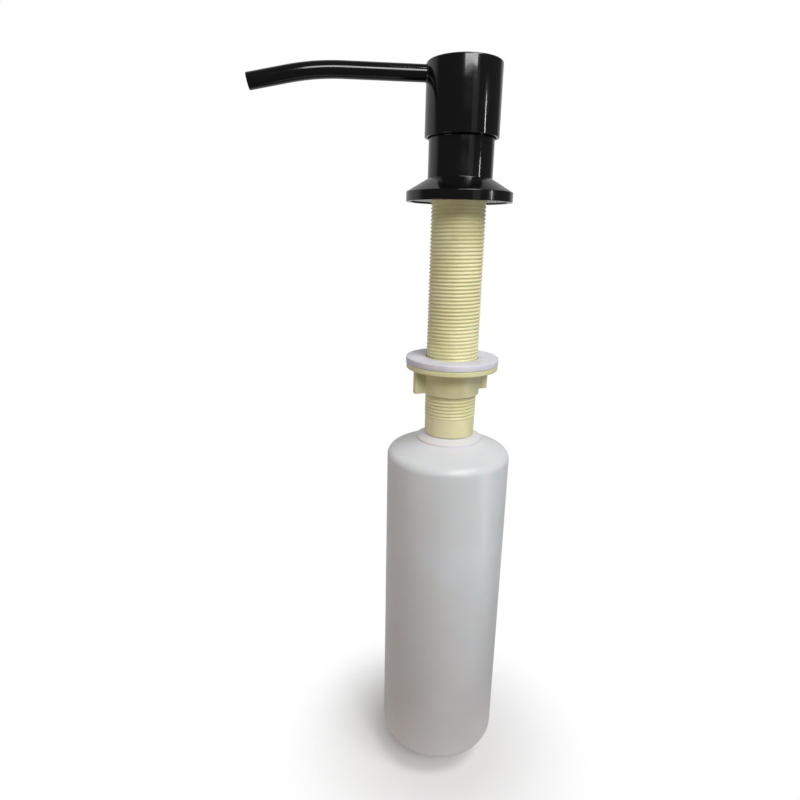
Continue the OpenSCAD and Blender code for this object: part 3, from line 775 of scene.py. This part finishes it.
# ---- Piston ----
# A moulded plug in the stem's foot. Its flange carries the seal and takes the spring, and the
# rim of its hole is the outlet ball's seat.
piston_low, piston_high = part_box("piston")
outlet_seat_r, flange_under_seal = 1.5 * mm, stem_low.z - 0.05 * mm
plug_r = foot_bore_r - 0.05 * mm
piston = turned("piston_plug", softened([
    (outlet_seat_r, piston_low.z, 0.2 * mm),
    (piston_high.x, piston_low.z, 0.3 * mm),
    (piston_high.x, flange_under_seal, 0.2 * mm),
    (plug_r, flange_under_seal),
    (plug_r, piston_high.z, 0.2 * mm),
    (outlet_seat_r, piston_high.z, 0.15 * mm),
]), around=96)
shaded(piston, white_pp)
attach(piston, "plunger")
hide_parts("piston")

# ---- Piston seal ----
# A soft white polyethylene sleeve on the stem's foot, waisted between two lips that wipe the
# barrel's bore. Its gloss varies in fine streaks along its length.
wiper_low, wiper_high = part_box("piston_seal")
lip_r, lip_h = wiper_high.x, 1.5 * mm
waist_r, wiper_bore_r = lip_r - 0.7 * mm, stem_r + 0.05 * mm
soft_pe = finish("soft white polyethylene", (0.8, 0.8, 0.79), 0.5,
                 subsurface_weight=0.2, subsurface_scale=1 * mm)
rubbed = grain(soft_pe, 1.5 * mm, detail=4, stretch=(1, 1, 0.2))
feed(soft_pe, "Base Color", blend_colours(
    soft_pe, level(soft_pe, rubbed, 0, 1), (0.74, 0.74, 0.72), (0.84, 0.84, 0.83)))
feed(soft_pe, "Roughness", level(soft_pe, rubbed, 0.4, 0.62))
relief(soft_pe, [rubbed], [0.01 * mm])
wiper = turned("piston_wiper", softened([
    (wiper_bore_r, wiper_low.z, 0.1 * mm),
    (lip_r, wiper_low.z, 0.3 * mm),
    (lip_r, wiper_low.z + lip_h, 0.4 * mm),
    (waist_r, wiper_low.z + 2 * lip_h, 0.8 * mm),
    (waist_r, wiper_high.z - 2 * lip_h, 0.8 * mm),
    (lip_r, wiper_high.z - lip_h, 0.4 * mm),
    (lip_r, wiper_high.z, 0.3 * mm),
    (wiper_bore_r, wiper_high.z, 0.1 * mm),
]), around=96)
shaded(wiper, soft_pe)
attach(wiper, "plunger")
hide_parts("piston_seal")

# ---- Return spring ----
# A compression spring coiled from stainless wire, its last turn closed at each end. It stands
# on the ball cage and pushes the piston back up.
wire_r, coil_r, coil_turns, coil_gap = 0.5 * mm, 5.2 * mm, 7.5, 0.05 * mm
closed_pitch = 2.2 * wire_r
coil_low = cage_high.z + coil_gap + wire_r
coil_high = piston_low.z - coil_gap - wire_r
spring_steel = finish("drawn stainless wire", (0.52, 0.53, 0.54), 0.3, metallic=1.0)
drawn = grain(spring_steel, 0.5 * mm, detail=4, stretch=(1, 1, 4))
feed(spring_steel, "Base Color", blend_colours(
    spring_steel, level(spring_steel, drawn, 0, 1), (0.44, 0.45, 0.46), (0.6, 0.61, 0.62)))
feed(spring_steel, "Roughness", level(spring_steel, drawn, 0.22, 0.42))
relief(spring_steel, [drawn], [0.004 * mm])


def coil_tree():
    """Winds round wire into a compression spring whose first and last turns are closed."""
    tree, given = new_tree(
        "wound spring", Turns="Float", Coil_radius="Float", Wire_radius="Float",
        Closed_pitch="Float", Bottom="Float", Top="Float")
    calc, steps_each_turn, wire_sides = calculator(tree), 40, 14
    steps = calc("MULTIPLY", given["Turns"], steps_each_turn)
    line = node(tree, "GeometryNodeMeshLine", {"Count": calc("ADD", steps, 1)})
    turn = calc("DIVIDE", node(tree, "GeometryNodeInputIndex").outputs[0], steps_each_turn)
    open_turns = calc("SUBTRACT", given["Turns"], 2)
    span = calc("SUBTRACT", given["Top"], given["Bottom"])
    open_span = calc("SUBTRACT", span, calc("MULTIPLY", given["Closed pitch"], 2))
    open_pitch = calc("DIVIDE", open_span, open_turns)
    in_open = calc("MINIMUM", calc("MAXIMUM", calc("SUBTRACT", turn, 1), 0), open_turns)
    in_closed = calc("SUBTRACT", turn, in_open)
    climb = calc("ADD", calc("MULTIPLY", in_open, open_pitch),
                 calc("MULTIPLY", in_closed, given["Closed pitch"]))
    angle = calc("MULTIPLY", turn, 2 * pi)
    place = node(tree, "ShaderNodeCombineXYZ", {
        0: calc("MULTIPLY", given["Coil radius"], calc("COSINE", angle)),
        1: calc("MULTIPLY", given["Coil radius"], calc("SINE", angle)),
        2: calc("ADD", given["Bottom"], climb)})
    wound = node(tree, "GeometryNodeSetPosition", {
        "Geometry": line.outputs[0], "Position": place.outputs[0]})
    route = node(tree, "GeometryNodeMeshToCurve", {"Mesh": wound.outputs[0]})
    section = node(tree, "GeometryNodeCurvePrimitiveCircle", {
        "Resolution": wire_sides, "Radius": given["Wire radius"]})
    wire = node(tree, "GeometryNodeCurveToMesh", {
        "Curve": route.outputs[0], "Profile Curve": section.outputs[0], "Fill Caps": True})
    return closed_off(tree, wire.outputs[0], given["Surface"])


spring = grown(new_piece("wound_spring", [], []), coil_tree(), {
    "Turns": coil_turns, "Coil radius": coil_r, "Wire radius": wire_r,
    "Closed pitch": closed_pitch, "Bottom": coil_low, "Top": coil_high, "Surface": spring_steel})
shaded(spring, spring_steel, sharp=60)
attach(spring, "pump_body")
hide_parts("return_spring")
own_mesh(spring)

# ---- Ball cage ----
# A slotted disc moulded in white polypropylene and pressed into the barrel. The inlet ball
# stops against its underside, and the spring stands on its top.
carried_over("ball_cage", white_pp)

# ---- Valve balls ----
# Two ground stainless balls, one on the seat in the barrel's foot and one on the piston. Fine
# scratches show where they have rolled.
ball_steel = finish("ground stainless balls", (0.62, 0.63, 0.64), 0.1, metallic=1.0)
scratches = grain(ball_steel, 0.8 * mm, detail=6, stretch=(1, 5, 1))
feed(ball_steel, "Base Color", blend_colours(
    ball_steel, level(ball_steel, scratches, 0, 1), (0.56, 0.57, 0.58), (0.68, 0.69, 0.7)))
feed(ball_steel, "Roughness", level(ball_steel, scratches, 0.07, 0.2))
relief(ball_steel, [scratches], [0.002 * mm])
carried_over("inlet_ball", ball_steel)
carried_over("outlet_ball", ball_steel)

# ---- Dip tube ----
# An extruded polyethylene tube, pushed into the barrel's tail and cut slanting just above the
# bottle's floor, so that it can't close itself off.
dip_slant = radians(45)
dip_pe = finish("extruded natural polyethylene", (0.76, 0.78, 0.76), 0.36, transmission_weight=0.45)
drawn_lines = grain(dip_pe, 1.2 * mm, detail=4, stretch=(1, 1, 0.03))
feed(dip_pe, "Base Color", blend_colours(
    dip_pe, level(dip_pe, drawn_lines, 0, 1), (0.7, 0.72, 0.7), (0.82, 0.83, 0.82)))
feed(dip_pe, "Roughness", level(dip_pe, drawn_lines, 0.3, 0.48))
relief(dip_pe, [drawn_lines], [0.012 * mm])
dip = turned("dip_tube_pipe", softened([
    (dip_r - dip_wall, dip_high.z, 0.15 * mm),
    (dip_r - dip_wall, dip_low.z, 0.1 * mm),
    (dip_r, dip_low.z, 0.1 * mm),
    (dip_r, dip_high.z, 0.15 * mm),
]), around=64)
dip_end_zone = dip_low.z + 1 * mm
for vertex in dip.data.vertices:
    if vertex.co.z < dip_end_zone:
        vertex.co.z += (vertex.co.x + dip_r) * tan(dip_slant)
dip.data.update()
shaded(dip, dip_pe)
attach(dip, "pump_body")
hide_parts("dip_tube")

# ---- Stage, lights and camera ----
# A pale floor that fades out, far enough below the hanging bottle for it to be unscrewed. Soft
# lights stand high in front and on the right, narrow beside the head, and low on both sides.
floor_r, floor_sides, bottle_room = 0.5, 64, 16 * mm
fade_start, fade_end = 0.02, 0.1
floor_z = cad_box[0].z - bottle_room
floor = new_piece("floor", [
    (floor_r * cos(2 * pi * i / floor_sides), floor_r * sin(2 * pi * i / floor_sides), floor_z)
    for i in range(floor_sides)
], [list(range(floor_sides))])
pale_floor = finish("pale floor", (0.9, 0.9, 0.9), 0.7)
distance = node(pale_floor.node_tree, "ShaderNodeVectorMath", {
    0: own_place(pale_floor, (1, 1, 0))}, operation="LENGTH").outputs["Value"]
feed(pale_floor, "Alpha", level(pale_floor, distance, 1, 0, fade_start, fade_end))
floor.data.materials.append(pale_floor)

surround = bpy.data.worlds.new("plain surround")
bpy.context.scene.world = surround
surround.use_nodes = True
sky = surround.node_tree
direction = node(sky, "ShaderNodeTexCoord").outputs["Generated"]
wall_side = Vector((-0.23, 0.97, 0))
behind = node(sky, "ShaderNodeVectorMath", {
    0: direction, 1: wall_side}, operation="DOT_PRODUCT").outputs["Value"]
strength = node(sky, "ShaderNodeMapRange", {
    "Value": behind, "From Min": 0.25, "From Max": 0.6, "To Min": 0.1, "To Max": 0.55},
    interpolation_type="SMOOTHSTEP").outputs["Result"]
seen = node(sky, "ShaderNodeLightPath").outputs["Is Camera Ray"]
shown = node(sky, "ShaderNodeMix", {0: seen, 2: strength, 3: 1.0}).outputs[0]
sky.links.new(shown, sky.nodes["Background"].inputs["Strength"])
sky.nodes["Background"].inputs["Color"].default_value = (1, 1, 1, 1)


def soft_light(name, width, height, power, place, target, colour=(1, 1, 1)):
    """A rectangular light that shines from a place towards a target."""
    lamp = bpy.data.lights.new(name, "AREA")
    lamp.shape, lamp.size, lamp.size_y = "RECTANGLE", width, height
    lamp.energy, lamp.color = power, colour
    holder = bpy.data.objects.new(name, lamp)
    bpy.context.scene.collection.objects.link(holder)
    holder.location = place
    holder.rotation_euler = (Vector(target) - Vector(place)).to_track_quat("-Z", "Y").to_euler()
    holder.visible_camera = False


soft_light("key", 0.35, 0.35, 4.5, (0.3, -0.42, 0.75), (0, 0, -0.1))
soft_light("high front", 0.5, 0.25, 3.7, (0.1, -0.68, 0.42), (0, 0, -0.15))
soft_light("front fill", 0.25, 0.6, 0.12, (0.35, -0.75, 0.15), (0, 0, -0.1))
soft_light("strip", 0.015, 0.3, 0.45, (0.69, -0.4, 0.06), (0, 0, 0.02))
soft_light("low right", 0.3, 0.3, 0.6, (0.6, -0.3, -0.38), (0, 0, -0.14))
soft_light("warm fill", 0.3, 0.2, 0.55, (-0.5, -0.3, -0.2), (0, 0, -0.22), (1, 0.8, 0.65))

camera = bpy.data.cameras.new("camera")
camera.sensor_width, camera.lens = 36, 25.92
holder = bpy.data.objects.new("camera", camera)
bpy.context.scene.collection.objects.link(holder)
holder.location = (-53.1 * mm, -283.7 * mm, -14.5 * mm)
look_down, look_right, roll = radians(16.13), radians(5.43), radians(1.11)
turn = Euler((pi / 2 - look_down, 0, -look_right)).to_matrix() @ Matrix.Rotation(roll, 3, "Z")
holder.rotation_euler = turn.to_euler()
bpy.context.scene.camera = holder
bpy.context.scene.view_settings.view_transform = "Standard"
